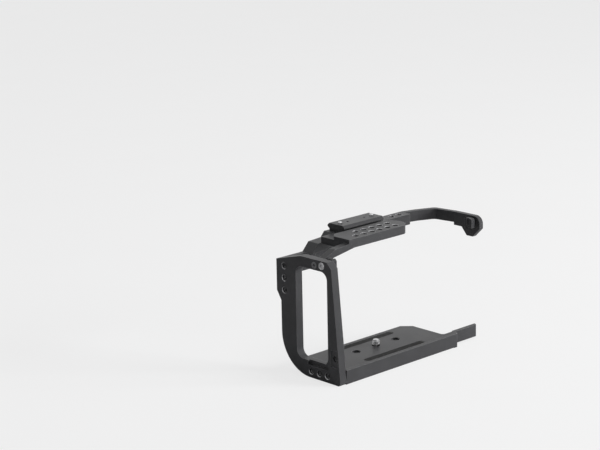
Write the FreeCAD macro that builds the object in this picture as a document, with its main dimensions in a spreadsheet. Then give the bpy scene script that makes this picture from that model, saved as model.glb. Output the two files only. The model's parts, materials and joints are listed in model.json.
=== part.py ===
"""Camera cage: four milled aluminium frame pieces screwed together round a camera body.

Millimetres, +X to the operator's right, +Y towards the lens, +Z up. The origin is where the
camera screw's axis meets the seat that the camera's base rests on.
"""
import FreeCAD
import Part

import math
import os
import re

import Sketcher
from FreeCAD import Placement, Rotation, Vector

SIZES = [
    ("side_x", 80.5, "lens axis to the left outer face"),
    ("side_wall", 7.5, "thickness of the left side plate"),
    ("rear_y", 38, "camera screw to the rear face"),
    ("front_y", 36, "camera screw to the front face"),
    ("floor_thick", 8, "base plate thickness"),
    ("rear_lean", 9, "how far the rear edge leans forward at its top"),
    ("base_right", 94, "lens axis to the right end of the base"),
    ("base_front", 22, "camera screw to the base's front edge"),
    ("lip_rise", 4.2, "rear lip above the seat"),
    ("lip_wall", 3.6, "rear lip thickness"),
    ("step_x", 61.2, "lens axis to the S step of the rear lip"),
    ("step_back", 5, "how far the right part of the lip steps forward"),
    ("foot_reach", 12, "side frame's foot under the base plate"),
    ("foot_thick", 3.6, "thickness of that foot"),
    ("sweep_radius", 33.5, "swept lower front corner of the side frame"),
    ("post_step_y", 31, "front edge of the swept corner"),
    ("post_step_z", 52, "height where the front post widens"),
    ("front_top_z", 87, "top of the front left corner"),
    ("beam_top_z", 94.5, "top of the left beam and of the shoulder block"),
    ("window_rear", 24, "camera screw to the window's rear edge"),
    ("window_front", 13, "camera screw to the window's front edge"),
    ("window_low", 6.4, "window's lower edge above the seat"),
    ("window_high", 85.7, "window's upper edge above the seat"),
    ("window_round", 7, "window corner radius"),
    ("sill_z", 2.6, "lower edge of the sill recess"),
    ("sill_deep", 2.6, "depth of the sill recess"),
    ("wall_thick", 5, "front wall thickness"),
    ("post_width", 14.5, "front post's width across the front"),
    ("lap_left", 54, "outer end of the half lap in the front wall"),
    ("lap_right", 40, "inner end of the half lap in the front wall"),
    ("lens_z", 45, "lens axis above the seat"),
    ("lens_round", 44, "radius of the arch round the lens"),
    ("arch_left_rise", 27, "left end of the arch above the lens axis"),
    ("arch_right_rise", 36, "right end of the arch above the lens axis"),
    ("deck_top", 104, "raised deck above the seat"),
    ("deck_thick", 7.6, "raised deck thickness"),
    ("deck_left", 43, "lens axis to the deck's left end"),
    ("deck_right", 22.5, "lens axis to the deck's right rear corner"),
    ("deck_rear", 12.5, "camera screw to the deck's rear face"),
    ("deck_front", 11.5, "camera screw to the raised deck's front edge"),
    ("shelf_top", 100, "lower front deck that carries the rail"),
    ("shelf_thick", 6, "thickness of the lower front deck"),
    ("shelf_left", 40, "lens axis to the lower deck's left end"),
    ("crest_left", 25, "lens axis to where the front wall reaches the lower deck"),
    ("shelf_right", 27, "lens axis to the lower deck's right end"),
    ("block_deep", 12, "shoulder block, front to rear"),
    ("strip_deep", 6.5, "shoulder strip, front to rear"),
    ("strip_thick", 7, "shoulder strip thickness"),
    ("strip_end_z", 86, "underside of the shoulder strip at the side frame"),
    ("ledge_reach", 17, "ledge that carries the grip arm"),
    ("ledge_thick", 4.6, "thickness of that ledge"),
    ("arm_top", 99, "top of the grip arm"),
    ("arm_tall", 9.5, "height of the arm along the front"),
    ("arm_tall_rear", 12, "height of the arm along the side"),
    ("arm_thick", 4.5, "arm thickness"),
    ("arm_deck_deep", 12, "wide part of the arm, front to rear"),
    ("arm_deck_right", 70, "lens axis to the end of the wide part"),
    ("arm_front", 37, "camera screw to the arm's front edge"),
    ("arm_bend_x", 101.5, "lens axis to the arm's bend"),
    ("arm_bend_y", 26, "camera screw to the arm's bend"),
    ("arm_right", 106.5, "lens axis to the arm's right face"),
    ("arm_end", 28, "camera screw back to the arm's rear end"),
    ("lug_low", 80, "lowest point of the arm's end lug"),
    ("lug_long", 15, "end lug, front to rear"),
    ("tap_quarter", 2.6, "bore radius of a 1/4 inch thread"),
    ("tap_three_eighths", 3.97, "bore radius of a 3/8 inch thread"),
    ("tap_sink", 0.45, "countersink at a thread's mouth"),
    ("hole_pitch", 9.5, "pitch of the accessory holes"),
    ("post_pitch", 10.5, "pitch of the holes in the front post"),
    ("deck_row_rear", 6, "camera screw back to the rear row"),
    ("deck_hole_left", 28.7, "lens axis to the first hole of the rear row"),
    ("fit_gap", 0.05, "running and seating clearance"),
    ("screw_round", 1.5, "joint screw shank radius"),
    ("screw_head_round", 2.85, "joint screw head radius"),
    ("screw_long", 6.4, "base joint screw length"),
    ("lap_screw_long", 4.6, "lap screw length"),
    ("shoulder_screw_long", 14, "shoulder screw length"),
    ("arm_screw_long", 8.6, "arm screw length"),
    ("rail_screw_long", 11, "rail screw length"),
    ("screw_socket", 1.1, "half the joint screw's socket across flats"),
    ("camera_thread", 3.175, "1/4 inch camera screw radius"),
    ("camera_thread_reach", 5.5, "camera screw above the seat"),
    ("camera_shank", 2.5, "camera screw shank below its thread"),
    ("screw_web", 1.8, "web that the camera screw passes through"),
    ("knob_round", 8.4, "camera screw head radius"),
    ("knob_tall", 2, "camera screw head height"),
    ("knob_gap", 0.5, "clearance round the camera screw head"),
    ("washer_thick", 0.5, "camera screw washer thickness"),
    ("circlip_thick", 0.8, "retaining circlip thickness"),
    ("circlip_round", 7.3, "retaining circlip's inner radius"),
    ("circlip_seat", 0.3, "circlip above the underside"),
    ("ring_wire", 0.7, "folding ring wire radius"),
    ("ring_round", 5.7, "folding ring's radius to the wire centre"),
    ("hub_round", 3, "hub that holds the folding ring"),
    ("hub_tall", 1.8, "height of that hub"),
    ("pad_deep", 0.8, "seat pad recess depth"),
    ("pad_proud", 0.2, "seat pads above the seat"),
    ("rail_long", 48, "rail length"),
    ("rail_wide", 20.6, "rail width over its flanges"),
    ("rail_waist", 15.6, "rail width at its grooves"),
    ("rail_tall", 6.6, "rail height"),
    ("rail_left", 21, "lens axis to the rail's left end"),
    ("rail_y", 25.5, "camera screw to the rail's centre line"),
    ("pin_round", 2, "safety pin radius"),
    ("pin_flange", 2.6, "safety pin flange radius"),
    ("pin_inset", 5, "safety pin to the rail's end"),
    ("pin_proud", 1.5, "safety pin above the rail"),
    ("spring_inner", 1.6, "safety pin spring inner radius"),
    ("clamp_screw_round", 2, "strap lug clamp screw radius"),
    ("clamp_head_round", 3.2, "strap lug clamp screw head radius"),
    ("clamp_head_tall", 2.2, "strap lug clamp screw head height"),
    ("clamp_socket", 1.5, "half the clamp screw's socket across flats"),
    ("clamp_travel", 2, "strap lug clamp travel"),
    ("left_clamp_y", 17.6, "camera screw back to the left clamp's axis"),
    ("left_clamp_z", 90.2, "left clamp's axis above the seat"),
    ("right_clamp_y", 20, "camera screw back to the right clamp's axis"),
    ("right_clamp_z", 93.5, "right clamp's axis above the seat"),
    ("jaw_thick", 4, "strap lug jaw thickness"),
    ("jaw_half", 4.2, "half the jaw's height"),
    ("bar_deep", 11, "bar behind the battery door, front to rear"),
    ("bar_round", 3, "rounded corners of that bar"),
    ("bar_lift", 1.6, "underside of that bar above the base's"),
    ("corner_cut", 8, "cut right front corner of the base"),
    ("front_cut", 1.2, "chamfer under the base's front edge"),
    ("edge_cut", 0.8, "small chamfers along the rear lip"),
    ("foot_rear", 30, "camera screw to the foot's rear edge"),
    ("foot_front", 6, "camera screw back to the foot's front edge"),
    ("circlip_groove", 0.6, "depth of the circlip's groove"),
    ("circlip_gap", 2, "half the circlip's opening"),
    ("washer_round", 6, "camera screw washer radius"),
    ("pad_y_rear", 22, "camera screw back to the rear pad"),
    ("pad_y_front", 15, "camera screw to the front pad"),
    ("pad_half_long", 36, "half the seat pads' length"),
    ("pad_half_wide", 3.5, "half the seat pads' width"),
    ("pad_round", 3, "seat pad corner radius"),
    ("under_x", 38, "lens axis to the underside's 1/4 inch threads"),
    ("under_y_rear", 16, "camera screw back to the rear pair"),
    ("under_y_front", 8, "camera screw to the front pair"),
    ("under_deep", 6, "depth of those threads"),
    ("under_big_x", 24, "lens axis to the 3/8 inch threads"),
    ("edge_hole_x", 28, "lens axis to the first thread in the front edge"),
    ("edge_hole_deep", 9, "depth of the threads in the front edge"),
    ("post_hole_top", 82.5, "top hole in the front post above the seat"),
    ("beam_hole_y", -13.3, "middle hole of the lower beam"),
    ("boss_low", 7, "foot of the rear post's sunk face"),
    ("boss_high", 21.5, "top of that sunk face"),
    ("boss_sunk", 0.8, "depth of that sunk face"),
    ("slit_y", 11.2, "camera screw back to the arm's slit"),
    ("slit_wide", 1.6, "width of that slit"),
    ("slit_low", 90.5, "foot of that slit"),
    ("slit_high", 96.5, "top of that slit"),
    ("lug_start", 6, "camera screw back to where the end lug begins"),
    ("rail_screw_inset", 14, "rail screw to the rail's end"),
    ("pin_roof", 2.4, "rail metal above a safety pin's flange"),
    ("pin_flange_tall", 1, "safety pin flange height"),
    ("clamp_spare", 0.3, "space left behind an opened jaw"),
]

SHEET_NAMES = {alias: f"Sizes.{alias}" for alias, size, meaning in SIZES}

doc = FreeCAD.newDocument("camera_cage")
sheet = doc.addObject("Spreadsheet::Sheet", "Sizes")
for row, (alias, size, meaning) in enumerate(SIZES, start=1):
    sheet.set(f"A{row}", meaning)
    sheet.set(f"B{row}", str(size))
    sheet.setAlias(f"B{row}", alias)
doc.recompute()


def bound(text):
    """The text of an expression, with each size's name pointed at the sheet."""
    return re.sub(r"[a-z][a-z_]*[a-z]", lambda word: SHEET_NAMES.get(word[0], word[0]), text)


def number(text):
    """What an expression on the sheet is worth now."""
    return float(sheet.evalExpression(bound(text)))


def place(item, x="0", y="0", z="0", turn=Rotation()):
    """Put an object at a point given by expressions, turned by a fixed rotation."""
    item.Placement = Placement(Vector(0, 0, 0), turn)
    for axis, text in (("x", x), ("y", y), ("z", z)):
        item.setExpression(f"Placement.Base.{axis}", bound(text))


def new_body(label):
    body = doc.addObject("PartDesign::Body", label)
    body.Label = label
    return body


def new_sketch(body, plane, height="0"):
    """A sketch on one of the body's own planes, height above it along its normal."""
    sketch = body.newObject("Sketcher::SketchObject", f"{body.Label}_sketch")
    face = [f for f in body.Origin.OriginFeatures if f.Role == f"{plane}_Plane"][0]
    sketch.AttachmentSupport = [(face, "")]
    sketch.MapMode = "FlatFace"
    sketch.setExpression("AttachmentOffset.Base.z", bound(height))
    return sketch


def fix_point(sketch, edge, end, x, y):
    """Hold one point of a sketch at distances from its origin, given by expressions."""
    for kind, text in (("DistanceX", x), ("DistanceY", y)):
        index = sketch.addConstraint(Sketcher.Constraint(kind, -1, 1, edge, end, number(text)))
        sketch.setExpression(f"Constraints[{index}]", bound(text))


def draw_outline(sketch, corners):
    """A closed outline. A corner is (x, y), or (x, y, radius, side) where an arc leads to it,
    with its centre to the left (1) or right (-1) of the way from the corner before."""
    points = [Vector(number(c[0]), number(c[1]), 0) for c in corners]
    first = sketch.GeometryCount
    for index, corner in enumerate(corners):
        start, stop = points[index - 1], points[index]
        if len(corner) == 2:
            sketch.addGeometry(Part.LineSegment(start, stop))
            continue
        chord = stop - start
        radius = number(corner[2])
        rise = math.sqrt(max(radius ** 2 - chord.Length ** 2 / 4, 0))
        normal = Vector(-chord.y, chord.x, 0).normalize() * corner[3]
        centre = start + chord * 0.5 + normal * rise
        middle = centre - normal * radius
        sketch.addGeometry(Part.Arc(start, middle, stop))
    for index, corner in enumerate(corners):
        edge = first + index
        following = first + (index + 1) % len(corners)
        end = nearest_end(sketch, edge, points[index])
        begin = nearest_end(sketch, following, points[index])
        sketch.addConstraint(Sketcher.Constraint("Coincident", edge, end, following, begin))
        fix_point(sketch, edge, end, corner[0], corner[1])
        if len(corner) > 2:
            held = sketch.addConstraint(Sketcher.Constraint("Radius", edge, number(corner[2])))
            sketch.setExpression(f"Constraints[{held}]", bound(corner[2]))


def nearest_end(sketch, edge, point):
    return min((1, 2), key=lambda end: sketch.getPoint(edge, end).distanceToPoint(point))


def draw_circle(sketch, x, y, radius):
    centre = Vector(number(x), number(y), 0)
    edge = sketch.addGeometry(Part.Circle(centre, Vector(0, 0, 1), number(radius)))
    fix_point(sketch, edge, 3, x, y)
    held = sketch.addConstraint(Sketcher.Constraint("Radius", edge, number(radius)))
    sketch.setExpression(f"Constraints[{held}]", bound(radius))


def pad(body, sketch, length, reverse=False):
    feature = body.newObject("PartDesign::Pad", "Pad")
    feature.Profile = sketch
    feature.Reversed = reverse
    feature.setExpression("Length", bound(length))
    doc.recompute()
    return feature


def pocket(body, sketch, length, reverse=False):
    """Cut a pocket against the sketch's normal, or along it, and see that it takes metal away."""
    before = body.Shape.Volume
    feature = body.newObject("PartDesign::Pocket", "Pocket")
    feature.Profile = sketch
    feature.Reversed = reverse
    feature.setExpression("Length", bound(length))
    doc.recompute()
    if body.Shape.Volume > before - 0.01 or not body.Shape.isValid():
        raise RuntimeError(f"{feature.Name} of {body.Label} cuts nothing or spoils the body")
    return feature


def revolve(body, sketch):
    feature = body.newObject("PartDesign::Revolution", "Revolution")
    feature.Profile = sketch
    feature.ReferenceAxis = (sketch, ["V_Axis"])
    feature.Angle = 360
    doc.recompute()
    return feature


def dress(body, kind, size, chosen):
    """Fillet or chamfer the edges of a body that a test picks out."""
    names = [f"Edge{i}" for i, edge in enumerate(body.Shape.Edges, start=1) if chosen(edge)]
    if not names:
        raise RuntimeError(f"no edge of {body.Label} was picked")
    tip = body.Tip
    feature = body.newObject(f"PartDesign::{kind}", kind)
    feature.Base = (tip, names)
    feature.setExpression("Radius" if kind == "Fillet" else "Size", bound(size))
    doc.recompute()
    if "Invalid" in feature.State or not body.Shape.isValid():
        raise RuntimeError(f"{feature.Name} of {body.Label} spoils the body: {names}")
    return feature


def ring_edges(radius, axis, level):
    """A test for round edges of a radius, square to an axis, at a level along it."""
    index = "xyz".index(axis)

    def chosen(edge):
        curve = edge.Curve
        if not isinstance(curve, Part.Circle) or abs(curve.Radius - number(radius)) > 0.01:
            return False
        return abs(abs(curve.Axis[index]) - 1) < 0.01 and abs(curve.Center[index] - number(level)) < 0.05
    return chosen


def holes(body, plane, height, length, radius, centres, reverse=False):
    sketch = new_sketch(body, plane, height)
    for x, y in centres:
        draw_circle(sketch, x, y, radius)
    pocket(body, sketch, length, reverse)


def rounded_box(left, low, right, high, radius):
    """Corners of a box outline whose four corners are arcs."""
    return [(f"{left} + {radius}", low), (f"{right} - {radius}", low),
            (right, f"{low} + {radius}", radius, 1), (right, f"{high} - {radius}"),
            (f"{right} - {radius}", high, radius, 1), (f"{left} + {radius}", high),
            (left, f"{high} - {radius}", radius, 1), (left, f"{low} + {radius}"),
            (f"{left} + {radius}", low, radius, 1)][1:]


def box(left, low, right, high):
    return [(left, low), (right, low), (right, high), (left, high)]


def hexagon(across):
    """Corners of a hexagon, from half its width across flats."""
    reach = 1 / math.cos(math.pi / 6)
    turns = [math.radians(60 * k) for k in range(6)]
    return [(f"{across} * {reach * math.cos(a):.5f}", f"{across} * {reach * math.sin(a):.5f}")
            for a in turns]


def prism(body, plane, height, length, corners, reverse=False):
    sketch = new_sketch(body, plane, height)
    draw_outline(sketch, corners)
    pad(body, sketch, length, reverse)


def cut(body, plane, height, length, corners, reverse=False):
    sketch = new_sketch(body, plane, height)
    draw_outline(sketch, corners)
    pocket(body, sketch, length, reverse)


def turned(body, corners):
    """Revolve a half section, given as (radius, height) corners, about the body's own Z."""
    sketch = new_sketch(body, "XZ")
    draw_outline(sketch, corners)
    revolve(body, sketch)


LEFT = "-side_x + side_wall"
BAR_REAR = "-rear_y + step_back"


def base_plate():
    """Floor under the camera, with the upturned rear lip that steps forward at its right end."""
    body = new_body("base_plate")
    bend = "step_back * 0.65"
    prism(body, "XY", "-floor_thick", "floor_thick + lip_rise", [
        (LEFT, "-rear_y"), ("step_x", "-rear_y"),
        ("step_x + step_back / 2", "-rear_y + step_back / 2", bend, 1),
        ("step_x + step_back", BAR_REAR, bend, -1),
        ("base_right - bar_round", BAR_REAR),
        ("base_right", f"{BAR_REAR} + bar_round", "bar_round", 1),
        ("base_right", f"{BAR_REAR} + bar_deep"),
        ("step_x + bar_round", f"{BAR_REAR} + bar_deep"),
        ("step_x", f"{BAR_REAR} + bar_deep + bar_round", "bar_round", -1),
        ("step_x", "base_front - corner_cut"), ("step_x - corner_cut", "base_front"),
        (LEFT, "base_front")])
    lip_inner = "-rear_y + lip_wall"
    cut(body, "XY", "lip_rise", "lip_rise", [
        (f"{LEFT} - 5", lip_inner), ("step_x - lip_wall / 2", lip_inner),
        ("step_x + step_back - lip_wall / 2", f"{BAR_REAR} + lip_wall"),
        ("base_right + 5", f"{BAR_REAR} + lip_wall"), ("base_right + 5", "base_front + 5"),
        (f"{LEFT} - 5", "base_front + 5")])
    foot_end = f"{LEFT} + foot_reach + fit_gap"
    cut(body, "XY", "-floor_thick", "foot_thick + fit_gap",
        box(f"{LEFT} - 1", "-foot_rear - fit_gap", foot_end, "-foot_front + fit_gap"), True)
    cut(body, "XY", "-floor_thick", "bar_lift",
        box("step_x + step_back", f"{BAR_REAR} - 1", "base_right + 1", "base_front"), True)
    cut(body, "YZ", "-side_x", "side_x + base_right", [
        ("base_front - front_cut", "-floor_thick - 1"), ("base_front + 1", "-floor_thick - 1"),
        ("base_front + 1", "-floor_thick + front_cut"), ("base_front", "-floor_thick + front_cut"),
        ("base_front - front_cut", "-floor_thick")], True)
    cut(body, "YZ", f"{LEFT} - 1", "step_x - 2 + side_x - side_wall", [
        ("-rear_y - 1", "-floor_thick - 1"), ("-rear_y + edge_cut + 1", "-floor_thick - 1"),
        ("-rear_y - 1", "-floor_thick + edge_cut + 1")], True)
    holes(body, "XY", "-floor_thick", "floor_thick - screw_web", "knob_round + knob_gap",
          [("0", "0")], True)
    holes(body, "XY", "-floor_thick + circlip_seat", "circlip_thick + fit_gap",
          "knob_round + knob_gap + circlip_groove", [("0", "0")], True)
    holes(body, "XY", "-floor_thick", "floor_thick", "camera_thread + 0.4", [("0", "0")], True)
    for side in ("-pad_y_rear", "pad_y_front"):
        cut(body, "XY", "0", "pad_deep", rounded_box("-pad_half_long", f"{side} - pad_half_wide",
                                                     "pad_half_long", f"{side} + pad_half_wide",
                                                     "pad_round"))
    quarter = [(f"{a}under_x", f"{b}") for a in ("-", "") for b in ("-under_y_rear", "under_y_front")]
    holes(body, "XY", "-floor_thick", "under_deep", "tap_quarter", quarter, True)
    holes(body, "XY", "-floor_thick", "floor_thick", "tap_three_eighths",
          [("-under_big_x", "0"), ("under_big_x", "0")], True)
    for radius in ("tap_quarter", "tap_three_eighths"):
        dress(body, "Chamfer", "tap_sink", ring_edges(radius, "z", "-floor_thick"))
    front = [(f"{side}(edge_hole_x + {k} * hole_pitch)", "-floor_thick / 2")
             for side in ("-", "") for k in (0, 1)]
    holes(body, "XZ", "-base_front", "edge_hole_deep", "tap_quarter", front, True)
    holes(body, "XY", "-floor_thick + foot_thick", "screw_long - foot_thick + 0.3",
          "screw_round + fit_gap", FOOT_SCREWS, True)
    return body


FOOT_SCREWS = [(f"{LEFT} + foot_reach / 2", "-foot_rear + 6"),
               (f"{LEFT} + foot_reach / 2", "-foot_front - 6")]
LAP_SCREWS = [("-(lap_left + lap_right) / 2", "lens_z + arch_left_rise + 3.6"),
              ("-(lap_left + lap_right) / 2", "front_top_z - 3.6")]
ARM_SCREWS = [("shelf_right + ledge_reach * 0.25", "arm_front - arm_deck_deep / 2 - 0.5"),
              ("shelf_right + ledge_reach * 0.75", "arm_front - arm_deck_deep / 2 - 0.5")]
RAIL_SCREWS = [("-rail_left + rail_screw_inset", "rail_y"),
               ("-rail_left + rail_long - rail_screw_inset", "rail_y")]
RAIL_PINS = {"left": "-rail_left + pin_inset", "right": "-rail_left + rail_long - pin_inset"}
SHOULDER_SCREW = ("-deck_rear + strip_deep / 2", "strip_end_z + strip_thick / 2")


def countersink(body, axis, level):
    """The mouth of a joint screw's hole, as wide as the screw's head."""
    dress(body, "Chamfer", "screw_head_round - screw_round", ring_edges("screw_round + fit_gap", axis, level))


def side_frame():
    """Left side plate round the port window, with the front post's flange and the foot."""
    body = new_body("side_frame")
    prism(body, "YZ", "-side_x", "side_wall", [
        ("-rear_y", "-floor_thick + 2"), ("-rear_y + 2", "-floor_thick"),
        ("post_step_y - sweep_radius", "-floor_thick"),
        ("post_step_y", "sweep_radius - floor_thick", "sweep_radius", 1),
        ("post_step_y", "post_step_z"), ("front_y", "post_step_z + 8"),
        ("front_y", "front_top_z"), ("window_front - 6", "beam_top_z"),
        ("-rear_y + rear_lean + 5", "beam_top_z"), ("-rear_y + rear_lean", "beam_top_z - 5")])
    cut(body, "YZ", "-side_x", "side_wall", rounded_box("-window_rear", "window_low", "window_front",
                                                        "window_high", "window_round"), True)
    cut(body, "YZ", "-side_x", "sill_deep", box("-window_rear", "sill_z", "0", "window_low + 1"), True)
    prism(body, "XZ", "-front_y", "wall_thick", [
        ("-side_x", "post_step_z + 8"), ("-side_x + post_width", "post_step_z + 8"),
        ("-side_x + post_width", "lens_z + arch_left_rise - 8"),
        ("-side_x + post_width + 8", "lens_z + arch_left_rise"),
        ("-lap_right", "lens_z + arch_left_rise"), ("-lap_right", "front_top_z"),
        ("-side_x", "front_top_z")])
    cut(body, "XZ", "-front_y", "wall_thick / 2", box("-lap_left", "lens_z + arch_left_rise - 1",
                                                      "-lap_right + 1", "front_top_z + 1"), True)
    prism(body, "XY", "-floor_thick", "foot_thick",
          box(f"{LEFT} - 1", "-foot_rear", f"{LEFT} + foot_reach", "-foot_front"))
    cut(body, "YZ", "-side_x", "boss_sunk", box("-rear_y + 3", "boss_low", "-window_rear - 3", "boss_high"), True)
    post = [("post_step_y - 4.3", f"post_hole_top - {k} * post_pitch") for k in range(3)]
    beam = [(f"beam_hole_y + {k} * hole_pitch", "-floor_thick / 2 + 1.7") for k in (-1, 0, 1)]
    boss = [("-rear_y + 6.5", "(boss_low + boss_high) / 2")]
    holes(body, "YZ", "-side_x", "side_wall - 0.5", "tap_quarter", post + beam + boss, True)
    dress(body, "Chamfer", "tap_sink", ring_edges("tap_quarter", "x", "-side_x"))
    dress(body, "Chamfer", "tap_sink / 2", ring_edges("tap_quarter", "x", "-side_x + boss_sunk"))
    clamp = [("-left_clamp_y", "left_clamp_z")]
    holes(body, "YZ", "-side_x", "side_wall", "clamp_screw_round + fit_gap", clamp, True)
    holes(body, "YZ", "-side_x", "clamp_head_tall", "clamp_head_round + 0.2", clamp, True)
    holes(body, "YZ", "-side_x", "side_wall", "screw_round + fit_gap", [SHOULDER_SCREW], True)
    countersink(body, "x", "-side_x")
    holes(body, "XY", "-floor_thick", "foot_thick", "screw_round + fit_gap", FOOT_SCREWS, True)
    countersink(body, "z", "-floor_thick")
    holes(body, "XZ", "-front_y", "wall_thick", "screw_round + fit_gap", LAP_SCREWS, True)
    return body


def top_plate():
    """Raised deck with its two rows of threads, the rail's shelf, the arch round the lens,
    the shoulder block and the strip that runs down to the side frame."""
    body = new_body("top_plate")
    prism(body, "XY", "deck_top - deck_thick", "deck_thick", [
        ("-deck_left", "-deck_rear"), ("deck_right", "-deck_rear"),
        ("deck_right - 5", "deck_front", "(deck_front + deck_rear) * 0.513", 1),
        ("-deck_left + 6", "deck_front"), ("-deck_left", "deck_front - 6")])
    prism(body, "XY", "shelf_top - shelf_thick", "shelf_thick", [
        ("-shelf_left", "deck_front - 5"), ("shelf_right", "deck_front - 5"),
        ("shelf_right", "front_y"), ("-crest_left", "front_y"),
        ("-crest_left", "front_y - block_deep"), ("-shelf_left", "front_y - block_deep")])
    ledge = "arm_top - arm_tall"
    arch_left = "sqrt(lens_round ^ 2 - arch_left_rise ^ 2)"
    arch_right = "sqrt(lens_round ^ 2 - arch_right_rise ^ 2)"
    crest = [("-crest_left", "shelf_top"), ("-crest_left - 4", "beam_top_z + 0.8"),
             ("-shelf_left - 3.5", "beam_top_z"), ("-shelf_left - 10.5", "front_top_z + fit_gap")]
    prism(body, "XZ", "-front_y", "wall_thick", [
        ("-lap_left + fit_gap", "lens_z + arch_left_rise"), (f"-{arch_left}", "lens_z + arch_left_rise"),
        (arch_right, "lens_z + arch_right_rise", "lens_round", -1),
        ("shelf_right + ledge_reach", ledge), ("shelf_right + ledge_reach", f"{ledge} + ledge_thick"),
        ("shelf_right", f"{ledge} + ledge_thick"), ("shelf_right", "shelf_top")] + crest
        + [("-lap_left + fit_gap", "front_top_z + fit_gap")])
    prism(body, "XZ", "-front_y", "block_deep", crest + [
        ("-shelf_left + 4", "front_top_z + fit_gap"), ("-crest_left + 6", "shelf_top - shelf_thick"),
        ("-crest_left + 6", "shelf_top")])
    cut(body, "XZ", "-front_y + wall_thick / 2 - fit_gap", "wall_thick", [
        ("-lap_left - 1", "lens_z + arch_left_rise - 1"),
        ("-lap_right + fit_gap", "lens_z + arch_left_rise - 1"),
        ("-lap_right + fit_gap", "front_top_z + fit_gap"), ("-lap_left - 1", "front_top_z + fit_gap")], True)
    prism(body, "XZ", "deck_rear", "strip_deep", [
        ("-deck_left + 6", "deck_top - deck_thick"), (f"{LEFT} + 9", "strip_end_z + 6"),
        (LEFT, "strip_end_z"), (LEFT, "strip_end_z + strip_thick"),
        (f"{LEFT} + 14", "deck_top - 5"), ("-deck_left + 1.5", "deck_top - 3.4"),
        ("-deck_left + 6", "deck_top")], True)
    prism(body, "XY", ledge, "ledge_thick",
          box("shelf_right - 6", "arm_front - arm_deck_deep", "shelf_right + ledge_reach", "front_y"))
    row_rear = [(f"-deck_hole_left + {k} * hole_pitch", "-deck_row_rear") for k in range(6)]
    row_front = [(f"-deck_hole_left + {k} * hole_pitch", "-deck_row_rear + hole_pitch")
                 for k in range(1, 6)]
    holes(body, "XY", "deck_top", "deck_top - shelf_top + shelf_thick", "tap_quarter", row_rear + row_front)
    dress(body, "Chamfer", "tap_sink", ring_edges("tap_quarter", "z", "deck_top"))
    holes(body, "XY", "shelf_top", "shelf_thick", "screw_round + fit_gap", RAIL_SCREWS)
    holes(body, "XY", f"{ledge} + ledge_thick", "ledge_thick", "screw_round + fit_gap", ARM_SCREWS)
    holes(body, "XZ", "-front_y", "wall_thick", "screw_round + fit_gap", LAP_SCREWS, True)
    countersink(body, "y", "front_y")
    holes(body, "YZ", LEFT, "shoulder_screw_long - side_wall + 0.4", "screw_round + fit_gap",
          [SHOULDER_SCREW], True)
    return body


def grip_arm():
    """Arm round the front of the grip, with the wide part for accessories and the end lug."""
    body = new_body("grip_arm")
    inner = "arm_right - arm_thick"
    prism(body, "XY", "arm_top - arm_tall", "arm_tall", [
        ("shelf_right + fit_gap", "arm_front - arm_deck_deep"),
        ("arm_deck_right", "arm_front - arm_deck_deep"), ("arm_deck_right", "arm_front - arm_thick"),
        ("arm_bend_x - 17.5", "arm_bend_y + 2.8"), ("arm_bend_x - 5", "arm_bend_y - 2.6"),
        ("arm_bend_x - 2.2", "arm_bend_y - 6", "6", -1), (inner, "2"), (inner, "-lug_start"),
        ("arm_right", "-lug_start"), ("arm_right", "2"), ("arm_bend_x + 2", "arm_bend_y - 5"),
        ("arm_bend_x - 1.5", "arm_bend_y + 0.6", "6", 1), ("arm_bend_x - 17", "arm_bend_y + 7.4"),
        ("arm_deck_right + 2", "arm_front"), ("shelf_right + fit_gap", "arm_front")])
    prism(body, "YZ", inner, "arm_thick", [
        ("-arm_end + 7", "arm_top"), ("-arm_end", "arm_top - 7", "7", 1), ("-arm_end", "lug_low + 8"),
        ("-arm_end + 8", "lug_low"), ("-arm_end + lug_long", "lug_low"),
        ("-arm_end + lug_long + 6", "arm_top - arm_tall_rear"), ("2", "arm_top - arm_tall_rear"),
        ("2", "arm_top")])
    cut(body, "XY", "arm_top - arm_tall", "ledge_thick + fit_gap",
        box("shelf_right - 1", "arm_front - arm_deck_deep - 1", "shelf_right + ledge_reach + fit_gap",
            "front_y + fit_gap"), True)
    cut(body, "YZ", inner, "arm_thick", box("-slit_y - slit_wide", "slit_low", "-slit_y", "slit_high"), True)
    clamp = [("-right_clamp_y", "right_clamp_z")]
    holes(body, "YZ", "arm_right", "arm_thick", "clamp_screw_round + fit_gap", clamp)
    holes(body, "YZ", "arm_right", "clamp_head_tall", "clamp_head_round + 0.2", clamp)
    holes(body, "XY", "arm_top", "arm_tall - ledge_thick", "screw_round + fit_gap", ARM_SCREWS)
    countersink(body, "z", "arm_top")
    row = [(f"arm_deck_right - 8 - {k} * hole_pitch", "arm_front - arm_deck_deep / 2") for k in (0, 1)]
    holes(body, "XY", "arm_top", "arm_tall", "tap_quarter", row)
    dress(body, "Chamfer", "tap_sink", ring_edges("tap_quarter", "z", "arm_top"))
    return body


def countersunk_screw(label, length):
    """A joint screw with its head's face at the origin and its shank down -Z."""
    body = new_body(label)
    turned(body, [("0", "0"), ("screw_head_round", "0"),
                  ("screw_round", "screw_round - screw_head_round"),
                  ("screw_round", f"-{length} + 0.4"), ("screw_round - 0.4", f"-{length}"), ("0", f"-{length}")])
    cut(body, "XY", "0", "screw_head_round - screw_round", hexagon("screw_socket"))
    return body


def screw_group(label, length, spots, turn):
    """Copies of one screw as separate solids in one node; each spot gives x, y and z."""
    master = countersunk_screw(f"{label}_master", length)
    copies = []
    for index, spot in enumerate(spots):
        copy = doc.addObject("App::Link", f"{label}_{index}")
        copy.LinkedObject = master
        place(copy, *spot, turn)
        copies.append(copy)
    group = doc.addObject("Part::Compound", label)
    group.Label = label
    group.Links = copies
    return group


HEAD_DOWN = Rotation(Vector(1, 0, 0), 180)
HEAD_LEFT = Rotation(Vector(0, 1, 0), -90)
HEAD_RIGHT = Rotation(Vector(0, 1, 0), 90)
HEAD_FRONT = Rotation(Vector(1, 0, 0), -90)


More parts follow.
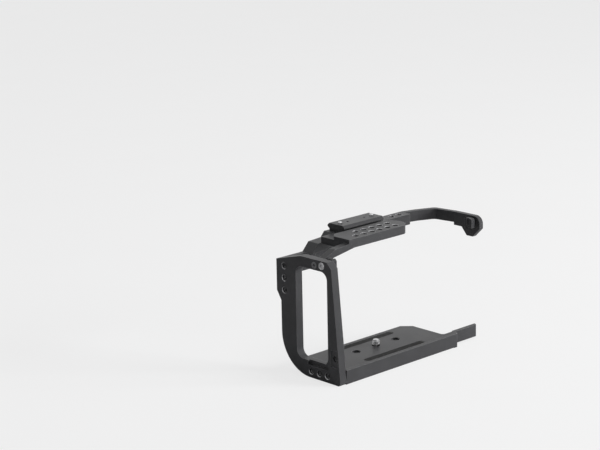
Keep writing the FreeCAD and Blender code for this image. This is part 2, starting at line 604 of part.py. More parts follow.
def joint_screws():
    """The screws that hold the frame pieces and the rail together."""
    return [
        screw_group("base_joint_screws", "screw_long",
                    [(x, y, "-floor_thick") for x, y in FOOT_SCREWS], HEAD_DOWN),
        screw_group("lap_screws", "lap_screw_long", [(x, "front_y", z) for x, z in LAP_SCREWS], HEAD_FRONT),
        screw_group("shoulder_screw", "shoulder_screw_long", [("-side_x",) + SHOULDER_SCREW], HEAD_LEFT),
        screw_group("arm_joint_screws", "arm_screw_long", [(x, y, "arm_top") for x, y in ARM_SCREWS], Rotation()),
        screw_group("rail_screws", "rail_screw_long",
                    [(x, y, "shelf_top + rail_tall") for x, y in RAIL_SCREWS], Rotation()),
    ]


def seat_pads():
    """Two rubber strips glued into the floor, which grip the camera's base."""
    pads = []
    for name, side in (("rear", "-pad_y_rear"), ("front", "pad_y_front")):
        body = new_body(f"{name}_pad")
        prism(body, "XY", "-pad_deep", "pad_deep + pad_proud",
              rounded_box("-pad_half_long", f"{side} - pad_half_wide", "pad_half_long",
                          f"{side} + pad_half_wide", "pad_round"))
        pads.append(body)
    group = doc.addObject("Part::Compound", "seat_pads")
    group.Label = "seat_pads"
    group.Links = pads
    return group


def rail():
    """Accessory rail with dovetail grooves; each end holds a sprung safety pin."""
    body = new_body("accessory_rail")
    waist, wide = "rail_waist / 2", "rail_wide / 2"
    half = [(waist, "0"), (waist, "rail_tall * 0.25"), (wide, "rail_tall * 0.6"),
            (wide, "rail_tall * 0.68"), (f"{wide} - rail_tall * 0.32", "rail_tall")]
    section = [(f"rail_y + {y}", f"shelf_top + {z}") for y, z in half]
    section += [(f"rail_y - ({y})", f"shelf_top + {z}") for y, z in reversed(half)]
    prism(body, "YZ", "-rail_left", "rail_long", section)
    spots = [(x, "rail_y") for x in RAIL_PINS.values()]
    holes(body, "XY", "shelf_top + rail_tall", "rail_tall", "pin_round + fit_gap", spots)
    holes(body, "XY", "shelf_top", "rail_tall - pin_roof", "pin_flange + fit_gap", spots, True)
    holes(body, "XY", "shelf_top + rail_tall", "rail_tall", "screw_round + fit_gap", RAIL_SCREWS)
    countersink(body, "z", "shelf_top + rail_tall")
    return body


def rail_pins():
    """Safety pins that stop a slide at the rail's ends, each with its spring underneath."""
    parts = []
    flange_top = "rail_tall - pin_roof - fit_gap"
    for side, x in RAIL_PINS.items():
        pin = new_body(f"rail_pin_{side}")
        turned(pin, [("0", f"{flange_top} - pin_flange_tall"), ("pin_flange", f"{flange_top} - pin_flange_tall"),
                     ("pin_flange", flange_top), ("pin_round", flange_top),
                     ("pin_round", "rail_tall + pin_proud - 0.5"), ("pin_round - 0.5", "rail_tall + pin_proud"),
                     ("0", "rail_tall + pin_proud")])
        place(pin, x, "rail_y", "shelf_top")
        spring = new_body(f"rail_spring_{side}")
        turned(spring, [("spring_inner", "0"), ("pin_flange - 0.1", "0"),
                        ("pin_flange - 0.1", f"{flange_top} - pin_flange_tall"),
                        ("spring_inner", f"{flange_top} - pin_flange_tall")])
        place(spring, x, "rail_y", "shelf_top")
        parts += [pin, spring]
    return parts


def camera_screw():
    """Captive 1/4 inch screw with its washer, folding ring and retaining circlip."""
    head_top = "-screw_web - washer_thick"
    head_low = f"{head_top} - knob_tall"
    screw = new_body("camera_screw")
    turned(screw, [("0", f"{head_low} - hub_tall"), ("hub_round", f"{head_low} - hub_tall"),
                   ("hub_round", head_low), ("knob_round - 0.5", head_low),
                   ("knob_round", f"{head_low} + 0.5"), ("knob_round", f"{head_top} - 0.5"),
                   ("knob_round - 0.5", head_top), ("camera_shank", head_top),
                   ("camera_shank", "0"), ("camera_thread", "0"),
                   ("camera_thread", "camera_thread_reach - 0.7"),
                   ("camera_thread - 0.7", "camera_thread_reach"), ("0", "camera_thread_reach")])
    wire_z = f"{head_low} - hub_tall / 2"
    holes(screw, "YZ", "-hub_round - 1", "2 * hub_round + 2", "ring_wire + fit_gap", [("0", wire_z)], True)
    washer = new_body("camera_screw_washer")
    turned(washer, [("camera_shank + fit_gap", head_top), ("washer_round", head_top),
                    ("washer_round", "-screw_web"), ("camera_shank + fit_gap", "-screw_web")])
    circlip = new_body("camera_screw_circlip")
    low = "-floor_thick + circlip_seat"
    turned(circlip, [("circlip_round", low), ("knob_round + knob_gap + circlip_groove - fit_gap", low),
                     ("knob_round + knob_gap + circlip_groove - fit_gap", f"{low} + circlip_thick"),
                     ("circlip_round", f"{low} + circlip_thick")])
    cut(circlip, "XY", low, "circlip_thick", box("-circlip_gap", "-knob_round - 5", "circlip_gap", "0"), True)
    ring = new_body("camera_screw_ring")
    arc = new_sketch(ring, "XY")
    draw_circle(arc, "0", "0", "ring_round + ring_wire")
    draw_circle(arc, "0", "0", "ring_round - ring_wire")
    pad(ring, arc, "2 * ring_wire")
    cut(ring, "XY", "2 * ring_wire", "2 * ring_wire",
        box("-ring_round - 2", "-ring_round - 2", "ring_round + 2", "0"))
    for edge in ("ring_round + ring_wire", "ring_round - ring_wire"):
        for level in ("0", "2 * ring_wire"):
            dress(ring, "Chamfer", "ring_wire * 0.55", ring_edges(edge, "z", level))
    for side in ("-", ""):
        arm = new_sketch(ring, "YZ", f"{side}(hub_round - 1.2)")
        draw_circle(arm, "0", "ring_wire", "ring_wire")
        pad(ring, arm, "ring_round + ring_wire - hub_round + 1", side == "-")
    place(ring, "0", "0", f"{wire_z} - ring_wire")
    return [screw, washer, circlip, ring]


def lug_clamps():
    """On each side a screw in the frame draws a jaw on to the camera's strap lug."""
    parts = []
    jaws = (("left", "-left_clamp_y", "left_clamp_z", "-side_x", "side_wall", HEAD_LEFT, False),
            ("right", "-right_clamp_y", "right_clamp_z", "arm_right", "arm_thick", HEAD_RIGHT, True))
    for side, y, z, face, wall, turn, mirrored in jaws:
        sign = "-" if mirrored else "+"
        near = f"{face} {sign} ({wall} + clamp_travel + clamp_spare)"
        jaw = new_body(f"{side}_lug_jaw")
        prism(jaw, "YZ", near, "jaw_thick", [
            (f"{y} - jaw_half", f"{z} - jaw_half"), (f"{y} + jaw_half", f"{z} - jaw_half"),
            (f"{y} + jaw_half", f"{z} + jaw_half - 1.5"), (f"{y} + jaw_half - 1.5", f"{z} + jaw_half"),
            (f"{y} - jaw_half + 1.5", f"{z} + jaw_half"), (f"{y} - jaw_half", f"{z} + jaw_half - 1.5")],
            mirrored)
        holes(jaw, "YZ", near, "jaw_thick - 1", "clamp_screw_round + fit_gap", [(y, z)], not mirrored)
        cut(jaw, "YZ", f"{near} {sign} jaw_thick", "0.8", box(f"{y} - 1.6", f"{z} - jaw_half - 1", f"{y} + 1.6",
                                                              f"{z} + jaw_half + 1"), mirrored)
        screw = new_body(f"{side}_lug_screw")
        reach = f"({wall} + clamp_travel + clamp_spare + jaw_thick - 1.2)"
        turned(screw, [("0", "0"), ("clamp_head_round - 0.3", "0"), ("clamp_head_round", "-0.3"),
                       ("clamp_head_round", "-clamp_head_tall"), ("clamp_screw_round", "-clamp_head_tall"),
                       ("clamp_screw_round", f"-{reach}"), ("0", f"-{reach}")])
        cut(screw, "XY", "0", "clamp_head_tall * 0.7", hexagon("clamp_socket"))
        place(screw, face, y, z, turn)
        parts += [jaw, screw]
    return parts


nodes = [base_plate(), side_frame(), top_plate(), grip_arm()]
nodes += joint_screws()
nodes += [seat_pads(), rail()]
nodes += rail_pins()
nodes += camera_screw()
nodes += lug_clamps()
doc.recompute()

for item in doc.Objects:
    if "Invalid" in item.State or "Error" in item.State:
        raise RuntimeError(f"{item.Label} did not compute: {item.State}")
for node in nodes:
    if node.Shape.isNull() or not node.Shape.isValid():
        raise RuntimeError(f"{node.Label} has no valid shape")

os.makedirs("parts", exist_ok=True)
for node in nodes:
    node.Shape.exportStep(f"parts/{node.Label}.step")
    print(f"{node.Label}: {len(node.Shape.Solids)} solids, {node.Shape.Volume:.1f} cubic mm")
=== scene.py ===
"""Camera cage in black anodised aluminium, with its rail, strap lug clamps and captive screw.

Metres, +X to the operator's right, +Y towards the lens, +Z up, origin at the camera screw's seat.
"""

import json
import math

import bmesh
import bpy
from mathutils import Matrix, Vector


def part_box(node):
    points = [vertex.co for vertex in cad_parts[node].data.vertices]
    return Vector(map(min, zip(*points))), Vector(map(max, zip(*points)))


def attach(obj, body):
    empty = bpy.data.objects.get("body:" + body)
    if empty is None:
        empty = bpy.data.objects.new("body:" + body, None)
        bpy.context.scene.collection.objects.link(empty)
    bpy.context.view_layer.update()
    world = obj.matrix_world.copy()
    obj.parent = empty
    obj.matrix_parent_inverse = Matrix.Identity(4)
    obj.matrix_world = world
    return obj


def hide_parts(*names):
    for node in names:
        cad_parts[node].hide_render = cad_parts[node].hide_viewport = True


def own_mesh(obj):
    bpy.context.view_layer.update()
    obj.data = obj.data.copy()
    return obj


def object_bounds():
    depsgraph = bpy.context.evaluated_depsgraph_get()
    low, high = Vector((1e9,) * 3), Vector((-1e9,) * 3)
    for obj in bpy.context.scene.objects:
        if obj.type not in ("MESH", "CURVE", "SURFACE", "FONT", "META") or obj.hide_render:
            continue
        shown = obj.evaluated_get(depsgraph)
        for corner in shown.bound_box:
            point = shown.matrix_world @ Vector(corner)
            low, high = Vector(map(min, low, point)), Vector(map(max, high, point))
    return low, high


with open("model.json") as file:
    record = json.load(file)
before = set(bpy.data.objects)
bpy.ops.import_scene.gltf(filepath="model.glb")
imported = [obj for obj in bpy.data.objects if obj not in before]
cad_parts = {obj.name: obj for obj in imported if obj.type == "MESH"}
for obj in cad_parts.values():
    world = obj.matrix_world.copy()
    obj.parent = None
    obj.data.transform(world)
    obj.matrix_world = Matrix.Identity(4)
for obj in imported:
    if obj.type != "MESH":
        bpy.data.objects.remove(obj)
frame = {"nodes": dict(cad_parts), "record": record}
cad_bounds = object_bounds()
nodes = frame["nodes"]
MM = 0.001

# Studio. A wide pale table, a broad lamp low at the operator's rear right, which gives most of
# the light, a weaker one overhead, a faint one at the left, and a long lens at the rear left.
TABLE_LEVEL = cad_bounds[0].z - 0.1 * MM
TABLE_REACH = 6.0
BACKDROP_LIFT = 0.75
AIM = (0.0, 0.0, 0.05)
camera_data = bpy.data.cameras.new("photo_camera")
camera_data.sensor_width = 36.0
camera_data.sensor_fit = "HORIZONTAL"
camera_data.lens = 106.8
camera_data.clip_end = 100.0
camera = bpy.data.objects.new("photo_camera", camera_data)
bpy.context.scene.collection.objects.link(camera)
camera_right = Vector((0.7265, -0.6869, -0.0203))
camera_up = Vector((0.1845, 0.1665, 0.9686))
camera_back = Vector((-0.6620, -0.7074, 0.2477))
camera_place = Vector((-1.0400, -1.0191, 0.4798))
turned = Matrix((camera_right, camera_up, camera_back)).transposed().to_4x4()
camera.matrix_world = Matrix.Translation(camera_place) @ turned
bpy.context.scene.camera = camera


def soft_lamp(name, place, width, height, watts):
    """A rectangular lamp at a place, facing the middle of the cage."""
    lamp = bpy.data.lights.new(name, "AREA")
    lamp.shape = "RECTANGLE"
    lamp.size, lamp.size_y, lamp.energy = width, height, watts
    holder = bpy.data.objects.new(name, lamp)
    bpy.context.scene.collection.objects.link(holder)
    holder.location = place
    holder.rotation_euler = (Vector(AIM) - Vector(place)).to_track_quat("-Z", "Y").to_euler()
    return holder


soft_lamp("overhead_lamp", (0.5, -0.5, 1.7), width=1.2, height=1.0, watts=5.5)
right_lamp = soft_lamp("right_lamp", (1.3, -1.9, 0.6), width=0.9, height=0.8, watts=72.0)
right_lamp.visible_glossy = False  # so low a lamp would flare on flat tops seen from the front
soft_lamp("left_lamp", (-1.7, 0.3, 0.9), width=0.5, height=0.7, watts=0.25)
bpy.context.scene.view_settings.view_transform = "Standard"


class Wire:
    """A socket in a material. Sums and products of wires add their own Math nodes."""

    def __init__(self, tree, socket=None):
        self.tree, self.socket = tree, socket

    def node(self, kind, inputs, out=0, **settings):
        """Add a node, set its settings, then the values or links of its sockets."""
        made = self.tree.nodes.new(kind)
        for name, value in settings.items():
            setattr(made, name, value)
        for key, value in inputs.items():
            if isinstance(value, Wire):
                self.tree.links.new(value.socket, made.inputs[key])
            else:
                made.inputs[key].default_value = value
        return Wire(self.tree, made.outputs[out])

    def maths(self, operation, first, second):
        return self.node("ShaderNodeMath", {0: first, 1: second}, operation=operation)

    def __add__(self, other):
        return self.maths("ADD", self, other)

    __radd__ = __add__

    def __mul__(self, other):
        return self.maths("MULTIPLY", self, other)

    __rmul__ = __mul__

    def __sub__(self, other):
        return self.maths("SUBTRACT", self, other)

    def __rsub__(self, other):
        return self.maths("SUBTRACT", other, self)

    def span(self, low, high, to_low=0.0, to_high=1.0):
        """Stretch the range from low to high on to another, and stop at its ends."""
        ends = {"From Min": low, "From Max": high, "To Min": to_low, "To Max": to_high}
        return self.node("ShaderNodeMapRange", {"Value": self, **ends})

    def blend(self, first, second):
        """A colour between two, by this value."""
        return self.node("ShaderNodeMix", {0: self, 6: first, 7: second}, out=2, data_type="RGBA")


def new_finish(name):
    """A material with its Principled shader, and a wire that holds Object coordinates."""
    finish = bpy.data.materials.new(name)
    finish.use_nodes = True
    place = Wire(finish.node_tree).node("ShaderNodeTexCoord", {}, out="Object")
    return finish, finish.node_tree.nodes["Principled BSDF"], place


def connect(shader, **wires):
    """Link wires to the shader's sockets, named with underscores for spaces."""
    for name, wire in wires.items():
        wire.tree.links.new(wire.socket, shader.inputs[name.replace("_", " ")])


def paint(finish, *names):
    """Give nodes of the frame a finish."""
    for name in names:
        for material_slot in nodes[name].material_slots:
            material_slot.material = finish


world = bpy.data.worlds.new("studio")
bpy.context.scene.world = world
world.use_nodes = True
sky = Wire(world.node_tree)
fill = sky.node("ShaderNodeBackground", {"Color": (0.93, 0.95, 1.0, 1), "Strength": 0.12})
white = sky.node("ShaderNodeBackground", {"Color": (1.0, 1.0, 1.0, 1), "Strength": 1.0})
seen = sky.node("ShaderNodeLightPath", {}, out="Is Camera Ray")
mirrored = sky.node("ShaderNodeLightPath", {}, out="Is Glossy Ray")
through = sky.node("ShaderNodeLightPath", {}, out="Is Transmission Ray")
shown = sky.node("ShaderNodeMixShader", {0: seen + mirrored + through, 1: fill, 2: white})
world.node_tree.links.new(shown.socket, world.node_tree.nodes["World Output"].inputs["Surface"])

floor_mesh = bmesh.new()
bmesh.ops.create_grid(floor_mesh, x_segments=1, y_segments=1, size=TABLE_REACH)
bmesh.ops.translate(floor_mesh, verts=floor_mesh.verts, vec=(0.0, 0.0, TABLE_LEVEL))
floor_data = bpy.data.meshes.new("table")
floor_mesh.to_mesh(floor_data)
floor = bpy.data.objects.new("table", floor_data)
bpy.context.scene.collection.objects.link(floor)
table_finish, table_shader, table_place = new_finish("pale_table")
paper_tone = table_place.node("ShaderNodeTexNoise", {"Vector": table_place, "Scale": 9.0, "Detail": 2.0})
paper_colour = paper_tone.span(0.3, 0.7).blend((0.84, 0.84, 0.84, 1), (0.87, 0.87, 0.87, 1))
connect(table_shader, Base_Color=paper_colour)
table_shader.inputs["Roughness"].default_value = 0.7
glow = table_place.node("ShaderNodeEmission", {"Color": (1.0, 1.0, 1.0, 1), "Strength": 1.0})
looked_at = table_place.node("ShaderNodeLightPath", {}, out="Is Camera Ray")
paper = Wire(table_place.tree, table_shader.outputs["BSDF"])
lifted = table_place.node("ShaderNodeMixShader", {0: looked_at * BACKDROP_LIFT, 1: paper, 2: glow})
table_place.tree.links.new(lifted.socket, table_place.tree.nodes["Material Output"].inputs["Surface"])
floor_data.materials.append(table_finish)


# Frame pieces. The base, side frame, top plate and grip arm are milled from aluminium bar, bead
# blasted and anodised black. Their sharp edges are broken by hand, so they catch the light; that
# glint is painted on as a paler edge colour, a painted highlight.
EDGE_BREAK = 0.55 * MM
GRAIN_DEEP = 0.06 * MM


def rounded_edge_lean(place, radius, samples):
    """The normal with its edges rounded, and how far it leans there from the flat face's own."""
    rounded = place.node("ShaderNodeBevel", {"Radius": radius}, samples=samples)
    facing = place.node("ShaderNodeNewGeometry", {}, out="Normal")
    along = place.node("ShaderNodeVectorMath", {0: rounded, 1: facing}, out="Value",
                       operation="DOT_PRODUCT")
    return rounded, 1 - along


def anodised(name, tone, worn_and_lit_edge_tone, roughness, grain):
    """Black anodising: blasted grain, faint blotches in the dye, and edges painted paler, partly as wear
    and partly as a painted highlight.
    """
    finish, shader, place = new_finish(name)
    blotch = place.node("ShaderNodeTexNoise", {"Vector": place, "Scale": 45.0, "Detail": 3.0})
    speck = place.node("ShaderNodeTexNoise", {"Vector": place, "Scale": 2600.0, "Detail": 2.0})
    rub = place.node("ShaderNodeTexNoise", {"Vector": place, "Scale": 190.0, "Detail": 4.0})
    rounded, lean = rounded_edge_lean(place, EDGE_BREAK, 6)
    # Pale edges, partly wear and partly a painted highlight: where the rounded normal leans away from the
    # face, the colour goes to the pale edge tone, broken up by the rub noise.
    edge = lean.span(0.02, 0.25) * rub.span(0.3, 0.62, 0.45, 1.0)
    dye = (blotch * 0.6 + speck * 0.4).span(0.32, 0.68)
    pale = tuple(1.35 * part for part in tone)
    dye_with_lit_edges = edge.blend(dye.blend((*tone, 1), (*pale, 1)), (*worn_and_lit_edge_tone, 1))
    bump = place.node("ShaderNodeBump", {"Height": speck, "Normal": rounded, "Strength": grain,
                                         "Distance": GRAIN_DEEP})
    connect(shader, Base_Color=dye_with_lit_edges, Roughness=(blotch * 0.16 + roughness) - edge * 0.12, Normal=bump)
    shader.inputs["Specular IOR Level"].default_value = 0.3
    return finish


paint(anodised("black_anodised_frame", (0.040, 0.040, 0.042), (0.26, 0.26, 0.265), 0.36, 0.35),
      "base_plate", "side_frame", "top_plate", "grip_arm")


# Threads and countersinks in the frame. Every accessory hole is tapped 1/4-20, and two under the
# base 3/8-16. The tap leaves bare crests, and the countersinks are coloured as pale bare metal, a
# painted highlight that makes the hole rims glint.
def coil(mesh, foot, axis, radius, rib, pitch, length, sides=3, steps=24):
    """A rib or wire wound about an axis from a point on it. A rib of three sides has its crest
    inwards, as in a tapped hole, and one of negative size has it outwards, as on a screw."""
    axis = Vector(axis).normalized()
    side = axis.orthogonal().normalized()
    centre = Vector(foot) + side * radius
    corners = []
    for k in range(sides):
        turn = 2 * math.pi * (k + (0.5 if sides == 3 else 0.0)) / sides
        corners.append(mesh.verts.new(centre + side * rib * math.cos(turn) + axis * rib * math.sin(turn)))
    section = mesh.faces.new(corners)
    turns = length / pitch
    count = max(int(steps * turns), 4)
    bmesh.ops.spin(mesh, geom=[section] + list(section.edges) + corners, cent=foot, axis=axis,
                   dvec=axis * length / count, angle=2 * math.pi * turns, steps=count)


def add_piece(name, mesh, finish, body, slot, *stands_for):
    """Close a mesh into an object in place, with its finish and its body; the slot argument is not used."""
    bmesh.ops.remove_doubles(mesh, verts=mesh.verts, dist=1e-6)
    bmesh.ops.recalc_face_normals(mesh, faces=mesh.faces)
    data = bpy.data.meshes.new(name)
    mesh.to_mesh(data)
    mesh.free()
    data.materials.append(finish)
    piece = bpy.data.objects.new(name, data)
    bpy.context.scene.collection.objects.link(piece)
    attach(piece, body)
    if stands_for:
        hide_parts(*stands_for)
    return piece


thread_finish, thread_shader, thread_place = new_finish("tapped_thread")
swarf = thread_place.node("ShaderNodeTexNoise", {"Vector": thread_place, "Scale": 900.0, "Detail": 3.0})
crest_colour = swarf.span(0.35, 0.7).blend((0.05, 0.05, 0.052, 1), (0.3, 0.3, 0.305, 1))
connect(thread_shader, Base_Color=crest_colour, Roughness=swarf.span(0.3, 0.7, 0.3, 0.5))
thread_shader.inputs["Metallic"].default_value = 0.7

QUARTER_BORE = 2.6 * MM
QUARTER_PITCH = 1.27 * MM
THREE_EIGHTHS_BORE = 3.97 * MM
THREE_EIGHTHS_PITCH = 1.5875 * MM
THREAD_RIB = 0.3 * MM
MOUTH = 1.3 * MM
holes_by_name = {mount["name"]: mount for mount in frame["record"]["mounts"]}
thread_depth = {
    "deck_outer_threads": 5.6 * MM, "deck_inner_threads": 5.6 * MM, "deck_middle_threads": 5.6 * MM,
    "underside_quarter_threads": 4.4 * MM, "underside_three_eighths_threads": 6.2 * MM,
    "front_edge_inner_threads": 7.4 * MM, "front_edge_outer_threads": 7.4 * MM,
    "post_outer_threads": 4.4 * MM, "beam_outer_threads": 4.4 * MM, "arm_threads": 7.8 * MM,
}
single_depth = 4.4 * MM
single_faces = {  # where each hole's face lies along its own axis
    "deck_end_thread": 104.0 * MM, "post_middle_thread": -80.5 * MM,
    "beam_middle_thread": -80.5 * MM, "rear_post_thread": -79.7 * MM,
}


def hole_mouths(mount):
    """The places of a pattern's holes on its face, from its spacings."""
    centre, axis, dims = Vector(mount["pos_m"]), Vector(mount["axis"]), mount["dims"]
    flat = [i for i in range(3) if abs(axis[i]) < 0.5]
    across, up = dims.get("spacing_x_mm", 0) * MM / 2, dims.get("spacing_y_mm", 0) * MM / 2
    found = []
    for first in ((-1, 1) if across else (0,)):
        for second in ((-1, 1) if up else (0,)):
            place = centre.copy()
            place[flat[0]] += first * across
            place[flat[1]] += second * up
            found.append(place)
    return found


MOUTH_SINK = 0.45 * MM
MOUTH_SKIN = 0.03 * MM
MOUTH_STEPS = 32


def mouth_ring(mesh, mouth, axis, bore):
    """The countersink at a hole's mouth, laid as a skin on the solid's own."""
    side = Vector(axis).orthogonal().normalized()
    section = ((bore - MOUTH_SKIN, -MOUTH_SINK), (bore + MOUTH_SINK - MOUTH_SKIN, 0.0),
               (bore + MOUTH_SINK, -MOUTH_SINK))
    corners = [mesh.verts.new(mouth + side * out + Vector(axis) * up) for out, up in section]
    sides = [mesh.edges.new((corners[k - 1], corners[k])) for k in range(3)]
    bmesh.ops.spin(mesh, geom=corners + sides, cent=mouth, axis=axis, angle=2 * math.pi,
                   steps=MOUTH_STEPS, use_merge=True)


thread_mesh = bmesh.new()
mouth_mesh = bmesh.new()
for name, depth in thread_depth.items():
    mount = holes_by_name[name]
    inward = -Vector(mount["axis"])
    wide = name == "underside_three_eighths_threads"
    bore, pitch = (THREE_EIGHTHS_BORE, THREE_EIGHTHS_PITCH) if wide else (QUARTER_BORE, QUARTER_PITCH)
    for mouth in hole_mouths(mount):
        coil(thread_mesh, mouth + inward * MOUTH, inward, bore, THREAD_RIB, pitch, depth)
        if not name.startswith("front_edge"):
            mouth_ring(mouth_mesh, mouth, mount["axis"], bore)
for name, face in single_faces.items():
    mount = holes_by_name[name]
    inward = -Vector(mount["axis"])
    mouth = Vector(mount["pos_m"])
    mouth[[i for i in range(3) if abs(inward[i]) > 0.5][0]] = face
    coil(thread_mesh, mouth + inward * MOUTH, inward, QUARTER_BORE, THREAD_RIB, QUARTER_PITCH,
         single_depth)
    if name != "rear_post_thread":
        mouth_ring(mouth_mesh, mouth, mount["axis"], QUARTER_BORE)
add_piece("frame_threads", thread_mesh, thread_finish, "cage", "black_anodised")
mouth_finish, mouth_shader, mouth_place = new_finish("countersink_painted_highlight")
countersink_highlight_noise = mouth_place.node("ShaderNodeTexNoise", {"Vector": mouth_place, "Scale": 700.0, "Detail": 3.0})
# Painted highlight: the countersink skin is coloured as pale metal so that the hole rims glint.
mouth_colour = countersink_highlight_noise.span(0.35, 0.6).blend((0.08, 0.08, 0.082, 1), (0.42, 0.42, 0.43, 1))
connect(mouth_shader, Base_Color=mouth_colour, Roughness=countersink_highlight_noise.span(0.3, 0.7, 0.22, 0.4))
mouth_shader.inputs["Metallic"].default_value = 0.6
add_piece("tapped_hole_mouths", mouth_mesh, mouth_finish, "cage", "black_anodised")


# Joint screws. M3 countersunk screws with hexagon sockets, in blackened steel, hold the four frame
# pieces together. The long one in the shoulder is of plain steel, grey with handling.
TURNED_EDGE = 0.12 * MM
TOOL_MARK = 0.02 * MM


def steel(name, tone, roughness, streak):
    """Turned steel: fine rings about an axis, light scratches, and edges painted paler as a painted
    highlight.
    """
    finish, shader, place = new_finish(name)
    rings = place.node("ShaderNodeTexWave", {"Vector": place, "Scale": 700.0, "Distortion": 1.5,
                                             "Detail": 2.0}, wave_type="RINGS", rings_direction="Z")
    scratch = place.node("ShaderNodeTexNoise", {"Vector": place, "Scale": 420.0, "Detail": 4.0})
    rounded, lean = rounded_edge_lean(place, TURNED_EDGE, 4)
    # Painted highlight: where the rounded normal leans away from the face, the colour goes to a paler tone.
    edge = lean.span(0.02, 0.3)
    pale = tuple(min(1.6 * part, 0.9) for part in tone)
    dark = tuple(0.72 * part for part in tone)
    shade = scratch.span(0.35, 0.65).blend((*dark, 1), (*tone, 1))
    bump = place.node("ShaderNodeBump", {"Height": rings, "Normal": rounded, "Strength": streak,
                                         "Distance": TOOL_MARK})
    connect(shader, Base_Color=edge.blend(shade, (*pale, 1)),
            Roughness=scratch.span(0.3, 0.7, roughness, roughness + 0.14), Normal=bump)
    shader.inputs["Metallic"].default_value = 1.0
    return finish


black_oxide = steel("black_oxide_screws", (0.055, 0.055, 0.06), 0.3, 0.15)
paint(black_oxide, "base_joint_screws", "lap_screws", "arm_joint_screws", "rail_screws")
paint(steel("shoulder_screw_steel", (0.2, 0.2, 0.205), 0.3, 0.2), "shoulder_screw")


# Accessory rail. Extruded aluminium with dovetail grooves, turned matt black by hard anodising,
# which is a little smoother and darker than the blasted frame under it. Two bright steel pins
# stand in it and stop what slides along it.
hard_anodised = anodised("hard_anodised_rail", (0.032, 0.032, 0.034), (0.24, 0.24, 0.245), 0.3, 0.12)
bright_steel = steel("bright_steel", (0.58, 0.58, 0.59), 0.24, 0.3)
paint(hard_anodised, "accessory_rail")
paint(bright_steel, "rail_pin_left", "rail_pin_right")


# Strap lug clamps. A small jaw at each side, milled and hard anodised as the rail is, holds the
# camera's strap lug. An M4 screw in bright stainless steel draws it in.
paint(hard_anodised, "left_lug_jaw", "right_lug_jaw")
paint(bright_steel, "left_lug_screw", "right_lug_screw")


# Rail springs. Each safety pin stands on three turns of steel wire, which close up as the pin is
# pushed down flush with the rail.
spring_steel = steel("spring_wire", (0.42, 0.42, 0.43), 0.28, 0.1)
SPRING_WIRE = 0.36 * MM
COILS_IN_HEIGHT = 4.2
for side in ("left", "right"):
    low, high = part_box(f"rail_spring_{side}")
    middle = (low + high) / 2
    tall = high.z - low.z
    wound = (high.x - low.x) / 2 - SPRING_WIRE
    spring_mesh = bmesh.new()
    foot = (middle.x, middle.y, low.z + SPRING_WIRE)
    coil(spring_mesh, foot, (0, 0, 1), wound, SPRING_WIRE, tall / COILS_IN_HEIGHT,
         tall - 2 * SPRING_WIRE, sides=8, steps=28)
    spring = add_piece(f"pin_spring_{side}", spring_mesh, spring_steel, "cage", "spring_steel",
                       f"rail_spring_{side}")
    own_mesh(spring)


# Camera screw. A captive stainless 1/4-20 screw with a knurled rim, which a nylon washer and a
# circlip keep in the base; its wire ring folds flat for turning by hand.
low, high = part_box("camera_screw")
rim = (high.x - low.x) / 2
screw_mesh = bmesh.new()
head_top, head_low = -2.3 * MM, -4.3 * MM
hub, shank, root = 3.0 * MM, 2.5 * MM, 2.6 * MM
hub_break, rim_break_in, rim_break_down = 0.3 * MM, 0.5 * MM, 0.4 * MM
shank_top, root_foot, tip_in, tip_down = 0.4 * MM, 0.6 * MM, 0.6 * MM, 0.4 * MM
section = [(0, low.z), (hub - hub_break, low.z), (hub, low.z + hub_break), (hub, head_low),
           (rim - rim_break_in, head_low), (rim, head_low + rim_break_down),
           (rim, head_top - rim_break_down), (rim - rim_break_in, head_top), (shank, head_top),
           (shank, shank_top), (root, root_foot), (root, high.z - tip_down),
           (root - tip_in, high.z), (0, high.z)]
points = [screw_mesh.verts.new((x, 0, z)) for x, z in section]
lines = [screw_mesh.edges.new(pair) for pair in zip(points, points[1:])]
KNURLS = 60
KNURL_DEEP = 0.32 * MM
bmesh.ops.spin(screw_mesh, geom=points + lines, cent=(0, 0, 0), axis=(0, 0, 1), angle=2 * math.pi,
               steps=2 * KNURLS, use_merge=True)
bmesh.ops.remove_doubles(screw_mesh, verts=screw_mesh.verts, dist=1e-6)
for vert in screw_mesh.verts:
    around = Vector((vert.co.x, vert.co.y))
    tooth = round(math.atan2(around.y, around.x) / (math.pi / KNURLS))
    if around.length > rim - 0.1 * MM and tooth % 2:
        vert.co.x *= 1 - KNURL_DEEP / rim
        vert.co.y *= 1 - KNURL_DEEP / rim
THREAD_FOOT, CREST_RISE, CREST_CENTRE = 0.9 * MM, 0.38 * MM, 0.17 * MM
coil(screw_mesh, (0, 0, THREAD_FOOT), (0, 0, 1), root + CREST_CENTRE, -CREST_RISE, QUARTER_PITCH,
     high.z - THREAD_FOOT - 1.0 * MM, steps=32)
add_piece("threaded_camera_screw", screw_mesh, bright_steel, "camera_screw", "bright_steel", "camera_screw")
paint(spring_steel, "camera_screw_ring", "camera_screw_circlip")
nylon, nylon_shader, nylon_place = new_finish("washer_nylon")
cloud = nylon_place.node("ShaderNodeTexNoise", {"Vector": nylon_place, "Scale": 300.0, "Detail": 3.0})
nylon_colour = cloud.span(0.3, 0.7).blend((0.7, 0.69, 0.64, 1), (0.78, 0.77, 0.73, 1))
connect(nylon_shader, Base_Color=nylon_colour, Roughness=cloud.span(0.3, 0.7, 0.38, 0.55))
paint(nylon, "camera_screw_washer")


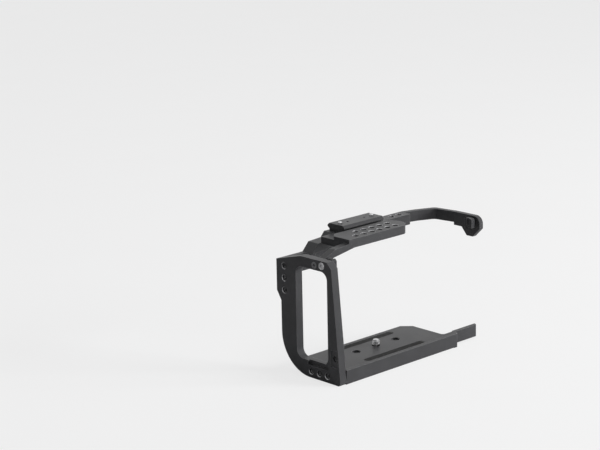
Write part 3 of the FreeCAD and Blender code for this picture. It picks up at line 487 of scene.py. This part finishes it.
# Seat pads. Two moulded rubber strips glued into the floor, with low ribs across them that keep
# the camera's base from turning on its screw.
rubber, rubber_shader, rubber_place = new_finish("pad_rubber")
bloom = rubber_place.node("ShaderNodeTexNoise", {"Vector": rubber_place, "Scale": 140.0, "Detail": 5.0})
pores = rubber_place.node("ShaderNodeTexNoise", {"Vector": rubber_place, "Scale": 3200.0, "Detail": 1.0})
PORE_DEEP = 0.05 * MM
rubber_colour = bloom.span(0.3, 0.7).blend((0.02, 0.02, 0.02, 1), (0.038, 0.037, 0.036, 1))
porous = rubber_place.node("ShaderNodeBump", {"Height": pores, "Strength": 0.4, "Distance": PORE_DEEP})
connect(rubber_shader, Base_Color=rubber_colour, Roughness=bloom.span(0.3, 0.7, 0.62, 0.82),
        Normal=porous)
low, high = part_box("seat_pads")
PAD_WIDE = 7.0 * MM
PAD_CORNER = 3.0 * MM
RIBS = 36
RIB_RISE = 0.3 * MM
RIB_WIDE = 0.9 * MM
RIB_MARGIN = 1.2 * MM
RIB_ROUND = 0.25 * MM


def block_edges(mesh, verts, wanted):
    """The edges of a new block that pass a test, in the mesh's own order."""
    block = set(verts)
    return [edge for edge in mesh.edges if block.issuperset(edge.verts) and wanted(edge)]


def round_edges(mesh, edges, radius, segments):
    bmesh.ops.bevel(mesh, geom=edges, offset=radius, segments=segments, profile=0.5,
                    affect="EDGES", material=-1)


pad_mesh = bmesh.new()
for y_middle in (low.y + PAD_WIDE / 2, high.y - PAD_WIDE / 2):
    size = Vector((high.x - low.x, PAD_WIDE, high.z - low.z - RIB_RISE))
    made = bmesh.ops.create_cube(pad_mesh, size=1)["verts"]
    bmesh.ops.scale(pad_mesh, verts=made, vec=size)
    bmesh.ops.translate(pad_mesh, verts=made, vec=(0, y_middle, low.z + size.z / 2))
    upright = block_edges(pad_mesh, made,
                          lambda edge: abs(edge.verts[0].co.z - edge.verts[1].co.z) > size.z / 2)
    round_edges(pad_mesh, upright, PAD_CORNER, 6)
    for k in range(RIBS):
        x = low.x + (k + 1.5) * size.x / (RIBS + 2)
        rib = bmesh.ops.create_cube(pad_mesh, size=1)["verts"]
        bmesh.ops.scale(pad_mesh, verts=rib, vec=(RIB_WIDE, PAD_WIDE - RIB_MARGIN, 2 * RIB_RISE))
        bmesh.ops.translate(pad_mesh, verts=rib, vec=(x, y_middle, high.z - RIB_RISE))
        ridge = block_edges(pad_mesh, rib,
                            lambda edge: min(vert.co.z for vert in edge.verts) > high.z - RIB_RISE)
        round_edges(pad_mesh, ridge, RIB_ROUND, 2)
add_piece("ribbed_seat_pads", pad_mesh, rubber, "cage", "rubber", "seat_pads")
